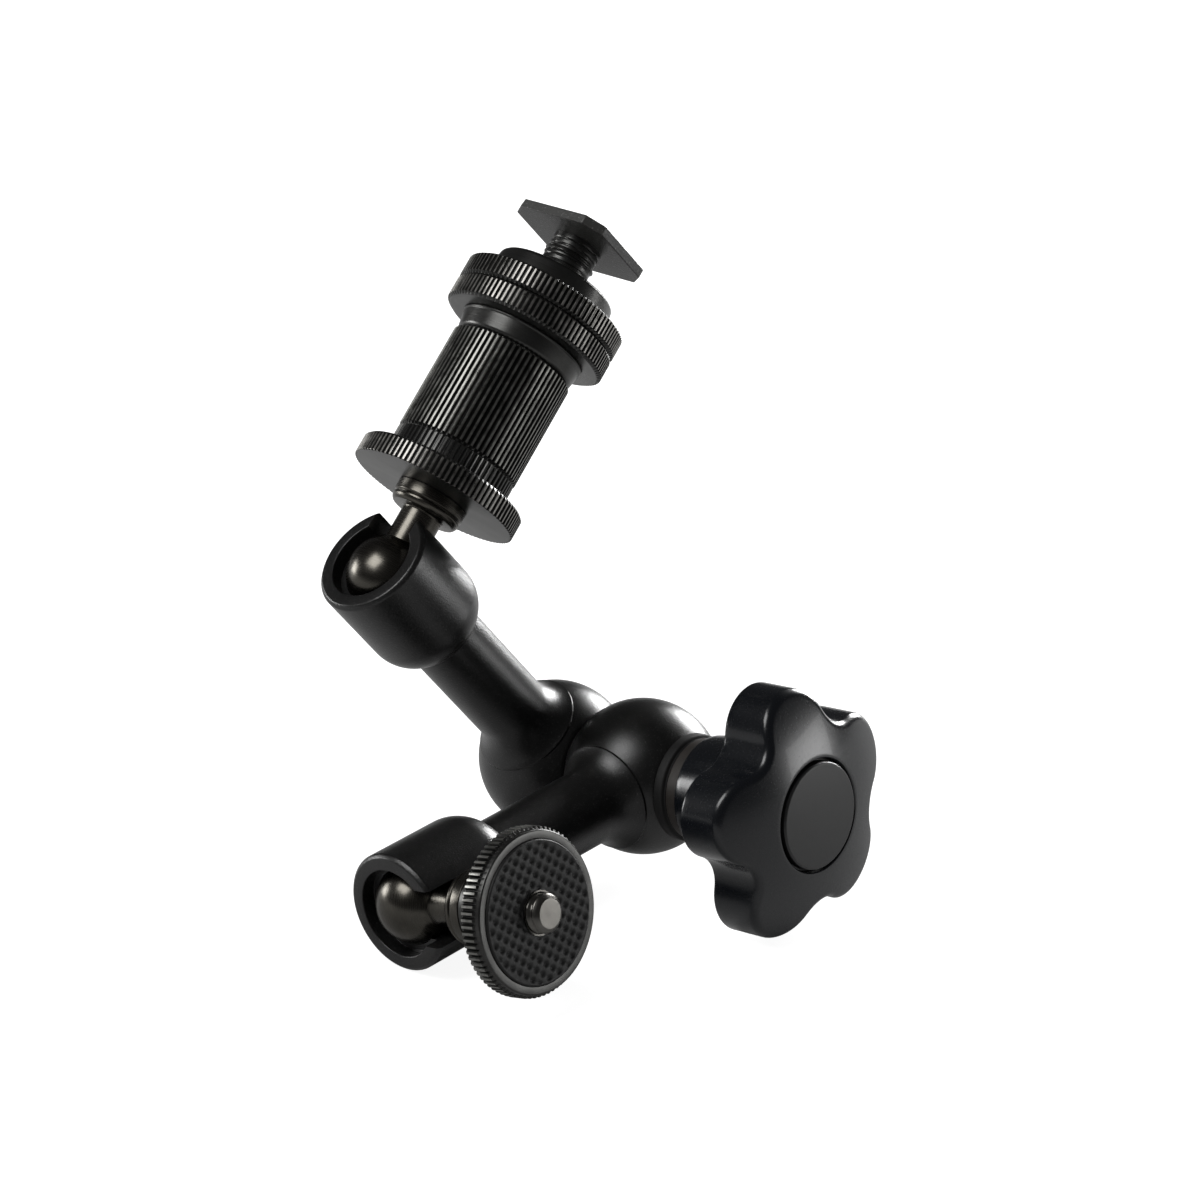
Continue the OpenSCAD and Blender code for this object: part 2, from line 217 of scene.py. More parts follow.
def threaded(name, at, corners, outer, depth, pitch, start, end, around=96, sharp=40):
    """A turned piece with a screw thread between two heights: the wall is cut by a V groove that
    climbs one pitch for each turn, r = min(profile, outer - depth * v), v the saw of height/pitch - turn."""
    prof = refined(soft_profile(corners), pitch / 9)
    turn = np.linspace(0, 2 * np.pi, around, endpoint=False)
    phase = prof[:, 0:1] / pitch - turn[None] / (2 * np.pi)
    saw = np.abs((phase % 1) * 2 - 1)
    v = np.clip((saw - 0.12) / 0.76, 0, 1)
    fade = np.clip(np.minimum(prof[:, 0:1] - start, end - prof[:, 0:1]) / (0.4 * pitch), 0, 1)
    radius = np.maximum(np.minimum(prof[:, 1:2], outer - depth * v * fade), 0.02)
    radius = np.where(fade > 0, radius, np.maximum(prof[:, 1:2], 0.02))
    height = np.repeat(prof[:, 0:1], around, 1)
    return from_rings(name, at, radius, height, turn, (True, True), sharp)


def prism(name, at, outline, near, far):
    """A straight bar: an outline of (x, y) points in the placement, from one height to another."""
    x, y, z, o = at.T
    points = [o + x * u + y * v + z * w for w in (near, far) for u, v in outline]
    n = len(outline)
    quads = np.array([(i, (i + 1) % n, n + (i + 1) % n, n + i) for i in range(n)])
    caps = [tuple(range(n - 1, -1, -1)), tuple(range(n, 2 * n))]
    return new_object(name, np.array(points) * MM, quads, caps)


def fit(obj, body, *nodes, slot, ribs=None):
    """Sends a finished piece with its body, lets it stand for its solid and names its material slot."""
    obj.data.materials.append(paint[slot])
    if ribs:
        obj.data.materials.append(paint[ribs])
    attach(obj, body)
    if nodes:
        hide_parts(*nodes)
    return obj


def finished(obj):
    """The object with its modifiers worked out into its own mesh."""
    graph = bpy.context.evaluated_depsgraph_get()
    mesh = bpy.data.meshes.new_from_object(obj.evaluated_get(graph))
    obj.modifiers.clear()
    obj.data = mesh
    return obj


# %% [markdown]
# Materials. All grain is worked out from the object's own coordinates or its own turned UV, so it
# stays with the piece when a joint moves. The painted arms have a fine broken grain that catches
# the light as small bright specks, the rings are turned dark metal, and the knob is glossy plastic.

# %% Materials
def tree(name):
    """A new node material and its main shader."""
    m = bpy.data.materials.new(name)
    m.use_nodes = True
    return m, m.node_tree, m.node_tree.nodes["Principled BSDF"]


def noise(nt, vector, scale, detail=3, rough=0.5):
    """A noise texture on a given coordinate."""
    t = nt.nodes.new("ShaderNodeTexNoise")
    t.inputs["Scale"].default_value = scale
    t.inputs["Detail"].default_value = detail
    t.inputs["Roughness"].default_value = rough
    nt.links.new(vector, t.inputs["Vector"])
    return t.outputs["Fac"]


def span(nt, value, low, high, to_low, to_high):
    """Maps a value from one span to another, clamped."""
    r = nt.nodes.new("ShaderNodeMapRange")
    for key, v in zip(("From Min", "From Max", "To Min", "To Max"), (low, high, to_low, to_high)):
        r.inputs[key].default_value = v
    nt.links.new(value, r.inputs["Value"])
    return r.outputs["Result"]


def bump(nt, shader, height, strength, distance):
    """Tilts the surface by a height."""
    b = nt.nodes.new("ShaderNodeBump")
    b.inputs["Strength"].default_value = strength
    b.inputs["Distance"].default_value = distance
    nt.links.new(height, b.inputs["Height"])
    nt.links.new(b.outputs["Normal"], shader.inputs["Normal"])


def blend(nt, first, second, share):
    """A colour between two others, by a share that runs from 0 to 1."""
    mix = nt.nodes.new("ShaderNodeMix")
    mix.data_type = "RGBA"
    mix.inputs["A"].default_value = (*first, 1)
    mix.inputs["B"].default_value = (*second, 1)
    nt.links.new(share, mix.inputs["Factor"])
    return mix.outputs["Result"]


def worked_out(nt, operation, first, second=None):
    """One step of arithmetic on node values. The second is a number, another value or nothing."""
    step = nt.nodes.new("ShaderNodeMath")
    step.operation = operation
    nt.links.new(first, step.inputs[0])
    if isinstance(second, (int, float)):
        step.inputs[1].default_value = second
    elif second is not None:
        nt.links.new(second, step.inputs[1])
    return step.outputs[0]


def coords(nt, kind="Object"):
    """The object's own coordinates, or its own UV."""
    if kind == "UV":
        n = nt.nodes.new("ShaderNodeUVMap")
        n.uv_map = "own"
        return n.outputs["UV"]
    return nt.nodes.new("ShaderNodeTexCoord").outputs[kind]


def stretch(nt, vector, scale):
    """Scales a coordinate differently along its axes."""
    m = nt.nodes.new("ShaderNodeMapping")
    m.inputs["Scale"].default_value = scale
    nt.links.new(vector, m.inputs["Vector"])
    return m.outputs["Vector"]


def painted(name, base, rough, grain, specks=0.0, grain_scale=3200, spec=0.5):
    """Fine textured paint: a bump of fine noise, a little uneven roughness, and small specks that are lighter
    than the rest."""
    m, nt, b = tree(name)
    v = coords(nt)
    fine = noise(nt, v, grain_scale, 2, 0.6)
    b.inputs["Specular IOR Level"].default_value = spec
    wide = noise(nt, v, 180, 3)
    nt.links.new(span(nt, wide, 0.3, 0.7, rough - 0.015, rough + 0.02), b.inputs["Roughness"])
    lighter = [min(1, c + specks) for c in base]
    colour = blend(nt, base, lighter, span(nt, fine, 0.6, 0.75, 0, 1))
    nt.links.new(colour, b.inputs["Base Color"])
    bump(nt, b, fine, grain, 0.0002)
    return m


def turned_metal(name, base, rough, metallic, ring=0.25, lathe_lines=260, spec=0.5):
    """Turned metal: faint rings round the axis from the piece's own UV, under a soft uneven sheen."""
    m, nt, b = tree(name)
    uv = coords(nt, "UV")
    lines = noise(nt, stretch(nt, uv, (3, lathe_lines, 1)), 1.0, 3, 0.7)
    patch = noise(nt, coords(nt), 300, 4)
    b.inputs["Metallic"].default_value = metallic
    b.inputs["Specular IOR Level"].default_value = spec
    darker = [c * 0.8 for c in base]
    lighter = [min(1, c * 1.2) for c in base]
    colour = blend(nt, darker, lighter, span(nt, patch, 0.3, 0.7, 0, 1))
    nt.links.new(colour, b.inputs["Base Color"])
    nt.links.new(span(nt, lines, 0.3, 0.7, rough - 0.05, rough + 0.07), b.inputs["Roughness"])
    bump(nt, b, lines, ring, 0.00003)
    return m


def ribbed_metal(name, teeth, base, worn_and_lit, rough):
    """Blackened ribs with lighter tops, partly where the black is worn off and partly a painted highlight on
    the lands. Round the piece, the place within one rib is f = (u * teeth) mod 1 from the piece's own UV, and
    the top is where f < 0.34."""
    m, nt, b = tree(name)
    split = nt.nodes.new("ShaderNodeSeparateXYZ")
    nt.links.new(coords(nt, "UV"), split.inputs[0])
    within = worked_out(nt, "FRACT", worked_out(nt, "MULTIPLY", split.outputs[0], teeth))
    top_of_rib = span(nt, within, 0.32, 0.44, 1, 0)
    patch = noise(nt, coords(nt), 420, 4, 0.7)
    # The lighter rib tops are partly wear and partly a painted highlight.
    wear_and_highlight = worked_out(nt, "MULTIPLY", top_of_rib, span(nt, patch, 0.3, 0.7, 0.25, 1))
    nt.links.new(blend(nt, base, worn_and_lit, wear_and_highlight), b.inputs["Base Color"])
    b.inputs["Metallic"].default_value = 0.9
    nt.links.new(span(nt, patch, 0.3, 0.7, rough - 0.05, rough + 0.1), b.inputs["Roughness"])
    return m


def plastic(name, base, rough, coat=0.0):
    """Moulded plastic: nearly smooth, with a faint orange peel and small scuffs in the gloss."""
    m, nt, b = tree(name)
    v = coords(nt)
    peel = noise(nt, v, 700, 2)
    scuff = noise(nt, v, 2600, 4, 0.8)
    b.inputs["Base Color"].default_value = (*base, 1)
    b.inputs["Coat Weight"].default_value = coat
    nt.links.new(span(nt, scuff, 0.5, 0.8, rough, rough + 0.08), b.inputs["Roughness"])
    bump(nt, b, peel, 0.05, 0.0001)
    return m


paint = {
    "arm_black": painted("arm_black", (0.004, 0.004, 0.004), 0.3, 0.22, 0.04, 4200, 0.55),
    "ring_black": turned_metal("ring_black", (0.06, 0.06, 0.058), 0.3, 0.9, 0.1),
    # In each ribs finish the second colour is the lighter rib top: partly wear, partly a painted highlight.
    "ribs_96": ribbed_metal("ribs_96", 96, (0.04, 0.04, 0.038), (0.35, 0.34, 0.32), 0.3),
    "ribs_66": ribbed_metal("ribs_66", 66, (0.03, 0.03, 0.028), (0.3, 0.3, 0.28), 0.3),
    "ribs_80": ribbed_metal("ribs_80", 80, (0.03, 0.03, 0.028), (0.3, 0.3, 0.28), 0.32),
    "dark_steel": turned_metal("dark_steel", (0.085, 0.08, 0.07), 0.25, 1.0, 0.1),
    "steel": turned_metal("steel", (0.14, 0.135, 0.125), 0.32, 1.0, 0.15),
    "brass": turned_metal("brass", (0.62, 0.48, 0.24), 0.3, 1.0),
    "knob_plastic": plastic("knob_plastic", (0.004, 0.005, 0.007), 0.24, 0.1),
    "cap_plastic": plastic("cap_plastic", (0.007, 0.0075, 0.008), 0.36),
    "washer_black": plastic("washer_black", (0.002, 0.002, 0.002), 0.7),
    "sleeve_brown": turned_metal("sleeve_brown", (0.03, 0.026, 0.023), 0.5, 0.2),
    "shoe_grey": painted("shoe_grey", (0.035, 0.035, 0.033), 0.4, 0.35, 0.12, 2600),
    "pad_rubber": painted("pad_rubber", (0.01, 0.01, 0.0098), 0.5, 0.2, 0.01, 2400, 0.35),
}
slots = {s["node"]: s["material_slot"] for s in record["subparts"]}
for node, obj in frame["nodes"].items():
    if obj.material_slots:
        for holder in obj.material_slots:
            holder.material = paint[slots[node]]
    else:
        obj.data.materials.append(paint[slots[node]])

# %% [markdown]
# The arms. Each hub is a ball with two flats, and each tube leaves it through a short flare. The
# two are separate surfaces, so that the thin crease where the flare meets the ball stays crisp.

# %% Arms
hub_r, tube_r = 13.0, 6.33
hub_inner, hub_outer = 9.85, 10.1
flare_r, flare_fillet, flare_at = 9.0, 7.0, 15.3
cup_back, chamber = -15.1, -9.5
bolt_bore, plug_room, plug_depth, flat_lip = 2.6, 6.02, 3.0, 0.25
rod_bore, flare_lip, crease = 2.2, 0.3, 0.12


def flat_r(s):
    """Radius of a hub's flat at a distance from the middle: sqrt(R^2 - s^2), less a small lip."""
    return math.sqrt(hub_r ** 2 - s ** 2) - flat_lip


def hub_ball(name, at_arm, body, node, room=0):
    """A ball cut by two flats square to the bolt: r(s) = sqrt(R^2 - s^2) between the flats. A room in
    the outer flat takes the plug over the bolt's head."""
    at = np.column_stack([at_arm[:, 1], at_arm[:, 2], at_arm[:, 0], at_arm[:, 3]])
    arc = np.linspace(math.asin(-hub_outer / hub_r), math.asin(hub_inner / hub_r), 72)
    mouth = [(-hub_outer, bolt_bore, 0)]
    if room:
        floor_s = plug_depth - hub_outer
        mouth = [(floor_s, bolt_bore, 0), (floor_s, room, 0), (-hub_outer, room, 0)]
    corners = mouth + [(-hub_outer, flat_r(hub_outer), 0)]
    corners += [(hub_r * math.sin(a), hub_r * math.cos(a), 0) for a in arc[1:-1]]
    corners += [(hub_inner, flat_r(hub_inner), 0), (hub_inner, bolt_bore, 0)]
    return fit(lathe(name, at, corners, 192, 45), body, node, slot="arm_black")


def arm_tube(name, at_arm, body, node):
    """The tube, with a flare that follows a circle of the fillet's radius down to the hub."""
    top = math.acos((tube_r + flare_fillet - flare_r) / flare_fillet)
    arc = [(flare_at - flare_fillet * math.sin(a), tube_r + flare_fillet * (1 - math.cos(a)), 0)
           for a in np.linspace(top, 0, 24)]
    corners = [(0, rod_bore, 0), (0, flare_r - flare_lip, 0), (arc[0][0] - crease, flare_r, 0)] + arc
    corners += [(arm_length + chamber, tube_r, 0), (arm_length + chamber, rod_bore, 0)]
    return fit(lathe(name, at_arm, corners, 160, 25), body, node, slot="arm_black")


hub_ball("hub_a", at_arm_a, "first_arm", "arm_a", plug_room)
hub_ball("hub_b", at_arm_b, "second_arm", "arm_b")
arm_tube("tube_a", at_arm_a, "first_arm", "arm_a")
arm_tube("tube_b", at_arm_b, "second_arm", "arm_b")

# %% [markdown]
# The socket cups. The turned body is cut by one slot with a round end, and the cut's edges are
# softened, as on a machined and painted part.

# %% Socket cups
cup_r, mouth_s, mouth_r, mouth_bore = 9.8, 4.97, 9.23, 7.23
lip_s, cavity_r, slot_half = 2.4, 6.7, 4.7
slot_turn_a, slot_turn_b = 89.0, -176.0
slot_end, slot_past = 9.0, 4.0
back_round_s, back_round_r, back_drop = -10, 7.01, 5.1


def shifted(at, s):
    """The placement moved along its own Z."""
    return np.column_stack([at[:, 0], at[:, 1], at[:, 2], at[:, 3] + at[:, 2] * s])


def slot_cutter(at, turn):
    """A bar with one round end that passes out through one side of the cup."""
    t = turned(at, turn)
    angles = np.linspace(math.pi, 2 * math.pi, 41)
    flat = [(slot_half * math.cos(a), slot_half * math.sin(a)) for a in angles]
    flat += [(slot_half, slot_end), (-slot_half, slot_end)]
    across = np.column_stack([t[:, 1], t[:, 2], t[:, 0], t[:, 3]])
    return prism("slot_cutter", across, flat, 0.0, cup_r + slot_past)


def socket_cup(name, at_arm, turn, body, node):
    """The cup: a turned body with a round room for the ball, less the slot, with soft edges."""
    at = shifted(at_arm, arm_length)
    arc = [(back_round_s - back_round_r * math.sin(a), cup_r - back_round_r + back_round_r * math.cos(a), 0)
           for a in np.linspace(math.asin(back_drop / back_round_r), 0, 20)]
    room = [(cavity_r * math.sin(a), cavity_r * math.cos(a), 0)
            for a in np.linspace(math.asin(lip_s / cavity_r), 0, 10)]
    corners = [(chamber, cavity_r, 0), (chamber, tube_r, 0), (cup_back, tube_r, 0)] + arc
    corners += [(mouth_s - 0.6, cup_r, 0.25), (mouth_s, mouth_r, 0.25), (mouth_s, mouth_bore, 0.2)]
    corners += [(lip_s, mouth_bore, 0.1)] + room
    cup = lathe(name, at, corners, 144)
    cutter = slot_cutter(at, turn)
    cut = cup.modifiers.new("slot", "BOOLEAN")
    cut.object = cutter
    cut.solver = "EXACT"
    soft = cup.modifiers.new("soft", "BEVEL")
    soft.width = 0.35 * MM
    soft.segments = 3
    soft.limit_method = "ANGLE"
    soft.angle_limit = math.radians(40)
    finished(cup)
    bpy.data.objects.remove(cutter)
    cup.data.polygons.foreach_set("use_smooth", [True] * len(cup.data.polygons))
    cup.data.set_sharp_from_angle(angle=math.radians(38))
    return fit(cup, body, node, slot="arm_black")


socket_cup("cup_a", at_arm_a, slot_turn_a, "first_arm", "socket_cup_a")
socket_cup("cup_b", at_arm_b, slot_turn_b, "second_arm", "socket_cup_b")

# %% [markdown]
# The ball studs: a ball, a plain neck, and a collar with a small groove. Both are drawn up to the
# top of the collar, where the disc hides the rest, and the second has the camera screw on top.

# %% Ball studs
ball_r, neck_r, collar_s, collar_top, collar_r = 6.62, 3.45, 11.5, 14.88, 6.1
screw_r, tip_s, screw_start = 3.175, 28.65, 15.0
thread_depth, screw_pitch = 0.5, 1.27


def ball_outline():
    """The ball from its far pole to the neck: r(s) = sqrt(R^2 - s^2)."""
    neck_at = math.sqrt(ball_r ** 2 - neck_r ** 2)
    arc = np.linspace(-math.pi / 2, math.asin(neck_at / ball_r), 56)
    return [(ball_r * math.sin(a), max(ball_r * math.cos(a), 0.0), 0) for a in arc]


def ball_and_collar(name, at, body, node):
    """Ball, neck and collar as one turned piece."""
    corners = ball_outline() + [(collar_s, neck_r, 0.4), (collar_s, 5.45, 0.15), (collar_s + 0.35, 5.75, 0.1)]
    corners += [(collar_s + 0.75, 5.95, 0.1), (collar_s + 1.15, 5.95, 0.1), (collar_s + 1.35, 5.7, 0.1)]
    corners += [(collar_s + 1.6, 6.0, 0.1), (collar_top, collar_r, 0.1), (collar_top, 0.0, 0)]
    return fit(lathe(name, at, corners, 160, 30), body, node, slot="dark_steel")


ball_and_collar("ball_and_collar_a", at_stack_a, "stud_a", "ball_stud_a")
ball_and_collar("ball_and_collar_b", at_stack_b, "stud_b", "ball_stud_b")
tip = [(collar_top - 0.5, 0, 0), (collar_top - 0.5, screw_r, 0), (tip_s - 0.75, screw_r, 0.15),
       (tip_s - 0.35, 2.85, 0.12), (tip_s, 2.35, 0.1), (tip_s, 0, 0)]
screw = threaded("camera_screw", at_stack_b, tip, screw_r, thread_depth, screw_pitch, screw_start,
                 tip_s - 0.5)
fit(screw, "stud_b", "ball_stud_b", slot="steel")

# %% [markdown]
# The shoe stack: the locking disc, the long barrel, two ring nuts back to back, the threaded stud
# and the square foot. The knurls are cut as real grooves.

# %% Shoe stack
disc_s, disc_t, disc_r = 14.93, 3.7, 14.4
barrel_s, barrel_top, band_h, barrel_r, barrel_bore = 18.68, 41.23, 3.7, 10.6, 4
ring_a_s, ring_h, ring_boss, ring_r, boss_r = 41.28, 7.6, 3.6, 14.2, 10.5
ring_top = ring_a_s + 2 * ring_h + 0.05
stud_r, shoe_s, shoe_t = 4.2, 63.58, 1.6
top = disc_s + disc_t
fine_rib, deep_rib, thread_gap = 0.42, 0.5, 0.06

disc_profile = [(disc_s, screw_r + thread_gap, 0), (disc_s, disc_r - 0.12, 0.12),
                (disc_s + 0.12, disc_r + 0.05, 0), (top - 0.5, disc_r + 0.05, 0),
                (top, disc_r - 0.55, 0.1), (top, screw_r + thread_gap, 0)]
fit(knurled("disc_a", at_stack_a, disc_profile, 96, disc_r, fine_rib), "disc_a", "locking_disc_a",
    slot="ring_black", ribs="ribs_96")

barrel_profile = [(barrel_s, barrel_bore, 0), (barrel_s, barrel_r - 0.25, 0.15),
                  (barrel_s + 0.1, barrel_r - 0.1, 0),
                  (barrel_s + band_h - 0.1, barrel_r - 0.1, 0), (barrel_s + band_h, barrel_r - 0.6, 0),
                  (barrel_s + band_h + 0.15, barrel_r - 0.5, 0), (barrel_s + band_h + 0.5, barrel_r, 0),
                  (barrel_top - 0.35, barrel_r + 0.02, 0), (barrel_top, barrel_r - 0.5, 0),
                  (barrel_top, barrel_bore, 0)]
fit(knurled("barrel", at_stack_a, barrel_profile, 66, barrel_r, deep_rib), "barrel", "knurled_barrel",
    slot="ring_black", ribs="ribs_66")


def ring_nut(name, at, body, node):
    """A ring nut: a smooth boss that widens a little, a fine lip, and a knurled flange."""
    corners = [(0, stud_r + thread_gap, 0), (0, boss_r - 0.7, 0.2), (0.45, boss_r - 0.2, 0.3),
               (ring_boss - 0.5, boss_r + 0.25, 0.1), (ring_boss - 0.35, boss_r + 0.4, 0.08),
               (ring_boss - 0.1, boss_r + 0.4, 0.08), (ring_boss, boss_r + 0.1, 0),
               (ring_boss + 0.02, ring_r - 0.7, 0.1), (ring_boss + 0.45, ring_r + 0.03, 0),
               (ring_h - 0.45, ring_r + 0.03, 0), (ring_h, ring_r - 0.65, 0.1),
               (ring_h, stud_r + thread_gap, 0)]
    nut = knurled(name, at, corners, 96, ring_r, fine_rib)
    return fit(nut, body, node, slot="ring_black", ribs="ribs_96")


flipped = shifted(at_stack_a, ring_top)
flipped = np.column_stack([flipped[:, 0], -flipped[:, 1], -flipped[:, 2], flipped[:, 3]])
ring_nut("ring_nut_lower", shifted(at_stack_a, ring_a_s), "lower_ring", "lower_ring_nut")
ring_nut("ring_nut_upper", flipped, "upper_ring", "upper_ring_nut")

stud_start, bead_s, bead_r = 31, 60.0, 4.5
thread_start, thread_r, stud_pitch = 40, 4.55, 1.0
stud_profile = [(stud_start, 0, 0), (stud_start, stud_r, 0), (bead_s, stud_r, 0),
                (bead_s + 0.1, bead_r, 0.1), (bead_s + 0.9, bead_r, 0.1), (bead_s + 1.1, stud_r, 0),
                (shoe_s, stud_r, 0), (shoe_s, 0, 0)]
stud = threaded("stud_thread", at_stack_a, stud_profile, thread_r, thread_depth, stud_pitch,
                thread_start, shoe_s - 0.3, 128)
fit(stud, "barrel", "shoe_stud", slot="ring_black")


def shoe_foot():
    """The square foot with cut corners, its edges softened."""
    half, cut, twist = 9.3, 6.6, 7.0
    ring = [(half, cut), (cut, half), (-cut, half), (-half, cut)]
    ring += [(-u, -v) for u, v in ring]
    plate = prism("shoe_foot", turned(at_stack_a, twist), ring, shoe_s, shoe_s + shoe_t)
    soft = plate.modifiers.new("soft", "BEVEL")
    soft.width = 0.16 * MM
    soft.segments = 3
    finished(plate)
    return fit(plate, "barrel", "shoe_plate", slot="shoe_grey")


shoe_foot()

# %% [markdown]
# The screw stack: a knurled disc with a smooth chamfered rim holds a round rubber pad. The pad's
# face has small dimples on a square lattice with one more in the middle of each cell.

# %% Screw stack
back_s, front_s, disc_b_r, pad_r = 22.3, 26.0, 13.05, 11.14
disc_hub_r, disc_bore_r, pad_seat = 6.0, 3.235, front_s - 0.9
rim = [(collar_top + 0.05, disc_bore_r, 0), (collar_top + 0.05, disc_hub_r, 0.15),
       (back_s - 0.02, disc_hub_r, 0),
       (back_s, disc_b_r - 0.75, 0.1), (back_s + 0.4, disc_b_r - 0.05, 0), (back_s + 0.5, disc_b_r + 0.03, 0),
       (front_s - 0.95, disc_b_r + 0.03, 0), (front_s - 0.7, disc_b_r - 0.42, 0), (front_s - 0.1, 12.5, 0.1),
       (front_s, 12.3, 0.1), (front_s, pad_r + 0.05, 0.1), (pad_seat, pad_r + 0.05, 0),
       (pad_seat, disc_bore_r, 0)]
fit(knurled("disc_b", at_stack_b, rim, 80, disc_b_r, deep_rib, 0.4), "disc_b", "locking_disc_b",
    slot="ring_black", ribs="ribs_80")

dimple_pitch, dimple_depth, pad_bore_r = 2.27, 0.34, 3.5


def dimple(u, v):
    """Depth of the dimples, 0 to 1, with bowls at the corners and in the middle of each square of
    side p: 0.5 + 0.5 cos(2 pi u / p) cos(2 pi v / p)."""
    a, b = np.cos(2 * np.pi * u / dimple_pitch), np.cos(2 * np.pi * v / dimple_pitch)
    return 0.5 + 0.5 * a * b


def rubber_pad():
    """The pad: rings from the bore to the edge, each point lowered by the dimple pattern."""
    top_s = front_s + 0.35
    on_face = 100
    under = front_s - 0.88
    face = np.linspace(pad_bore_r, pad_r - 0.25, on_face)
    r = np.concatenate([face, [pad_r - 0.1, pad_r, pad_r, pad_bore_r]])
    base = np.concatenate([np.full(on_face, top_s), [top_s - 0.08, top_s - 0.3, under, under]])
    turn = np.linspace(0, 2 * np.pi, 420, endpoint=False)
    radius = np.repeat(r[:, None], len(turn), 1)
    u, v = radius * np.cos(turn), radius * np.sin(turn)
    fade = np.clip(np.minimum(r - pad_bore_r, pad_r - 0.3 - r) / 0.4, 0, 1)[:, None]
    fade = fade * (np.arange(len(r)) < on_face)[:, None]
    height = base[:, None] - dimple_depth * fade * dimple(u, v) ** 3
    radius, height = np.vstack([radius, radius[:1]]), np.vstack([height, height[:1]])
    return fit(from_rings("pad", at_stack_b, radius[::-1], height[::-1], turn, (False, False), 50), "disc_b",
               "rubber_pad", slot="pad_rubber")


rubber_pad()

# %% [markdown]
# The knob. Its outline is five lobes joined by five valleys, all arcs of circles. Moving the
# outline inward by d makes each lobe's radius smaller by d and each valley's larger by d, so the
# soft edges follow the true outline. The front is part of a large ball.

# %% Knob
lobe_at, lobe_r, valley_at = 13.6, 7.25, 20.8
knob_turn, dome_r, dome_top = 38.0, 52.0, 48.5
front_round, back_round = 1.1, 0.7
neck_s, neck_r, skirt_s, skirt_r = 25.3, 9.3, 36.3, 10.8
bore_r, bore_s, cap_room_r, cap_floor, cap_edge_r = 8.45, 26.4, 9.27, 45.25, 9.75
lobe_side, lobe_ahead = lobe_at * math.sin(math.pi / 5), lobe_at * math.cos(math.pi / 5)
valley_r = math.sqrt(lobe_side ** 2 + (valley_at - lobe_ahead) ** 2) - lobe_r
at_knob = turned(at_pivot, knob_turn)


def star(d, per_arc=26):
    """Points of the outline moved inward by d: for each lobe its arc, then the arc of the next valley."""
    c_lobe = np.array([lobe_at, 0.0])
    c_valley = valley_at * np.array([math.cos(math.pi / 5), math.sin(math.pi / 5)])
    toward = c_valley - c_lobe
    angle = math.atan2(toward[1], toward[0])
    lobe = np.linspace(-angle, angle, per_arc, endpoint=False)
    back = angle + math.pi
    far = 2 * math.pi / 5 - angle + math.pi
    valley = np.linspace(back, far, per_arc, endpoint=False)
    a = c_lobe + (lobe_r - d) * np.column_stack([np.cos(lobe), np.sin(lobe)])
    b = c_valley + (valley_r + d) * np.column_stack([np.cos(valley), np.sin(valley)])
    one = np.vstack([a, b])
    out = []
    for i in range(5):
        c, s = math.cos(i * 2 * math.pi / 5), math.sin(i * 2 * math.pi / 5)
        out.append(one @ np.array([[c, s], [-s, c]]))
    return np.vstack(out)


def dome(r):
    """Height of the front: s = top - R + sqrt(R^2 - r^2)."""
    return dome_top - dome_r + np.sqrt(dome_r ** 2 - r ** 2)


def knob():
    """Rings from the bore at the back, over the neck, the lobes and the domed front, to the cap's room."""
    rings = []

    def circle(r, s):
        """A round ring whose points lie in the same directions as the outline's."""
        o = star(0)
        ang = np.arctan2(o[:, 1], o[:, 0])
        rings.append((r * np.column_stack([np.cos(ang), np.sin(ang)]), np.full(len(ang), s)))

    back = neck_s - 0.3
    for r, s in ((bore_r, bore_s), (bore_r, neck_s - 0.1), (8.6, back), (9.0, back), (9.2, neck_s - 0.2)):
        circle(r, s)
    for k in np.linspace(0, 1, 14):
        circle(neck_r + (skirt_r - neck_r) * k, neck_s + (skirt_s - neck_s) * k)
    for a in np.linspace(0, math.pi / 2, 7):
        p = star(back_round * (1 - math.sin(a)))
        rings.append((p, np.full(len(p), skirt_s + back_round * (1 - math.cos(a)))))
    walls = dome(np.linalg.norm(star(0), axis=1)) - front_round
    for k in np.linspace(0, 1, 8)[1:]:
        rings.append((star(0), (skirt_s + back_round) * (1 - k) + walls * k))
    for a in np.linspace(0, math.pi / 2, 12)[1:]:
        d = front_round * (1 - math.cos(a))
        p = star(d)
        rings.append((p, dome(np.linalg.norm(p, axis=1)) - front_round * (1 - math.sin(a))))
    inner = star(front_round)
    ang = np.arctan2(inner[:, 1], inner[:, 0])
    round_edge = cap_edge_r * np.column_stack([np.cos(ang), np.sin(ang)])
    for k in np.linspace(0, 1, 22)[1:]:
        p = inner * (1 - k) + round_edge * k
        rings.append((p, dome(np.linalg.norm(p, axis=1))))
    for r, s in ((9.45, dome(9.45) - 0.06), (9.3, dome(9.3) - 0.25)):
        circle(r, s)
    for s in (46.6, cap_floor):
        circle(cap_room_r, s)
    xy = np.array([p for p, s in rings])
    height = np.array([s for p, s in rings])
    radius, turn = np.hypot(xy[..., 0], xy[..., 1]), np.arctan2(xy[..., 1], xy[..., 0])
    radius, turn = np.vstack([radius, radius[:1]]), np.vstack([turn, turn[:1]])
    height = np.vstack([height, height[:1]])
    return fit(from_rings("star_knob", at_knob, radius, height, turn, (False, False), 40), "knob_body",
               "knob", slot="knob_plastic")


knob()
cap_back, cap_front, cap_flange_r, cap_flange_top, cap_r = 45.2, 48.0, 9.2, 46.3, 8.75
cap = [(cap_back, 0, 0), (cap_back, cap_flange_r, 0), (cap_flange_top, cap_flange_r, 0.1),
       (cap_flange_top + 0.1, cap_r, 0.1), (cap_front - 0.25, cap_r - 0.03, 0),
       (cap_front, cap_r - 0.25, 0.15), (cap_front, 0, 0)]
fit(lathe("cap", at_pivot, cap, 160, 30), "knob_body", "knob_cap", slot="cap_plastic")
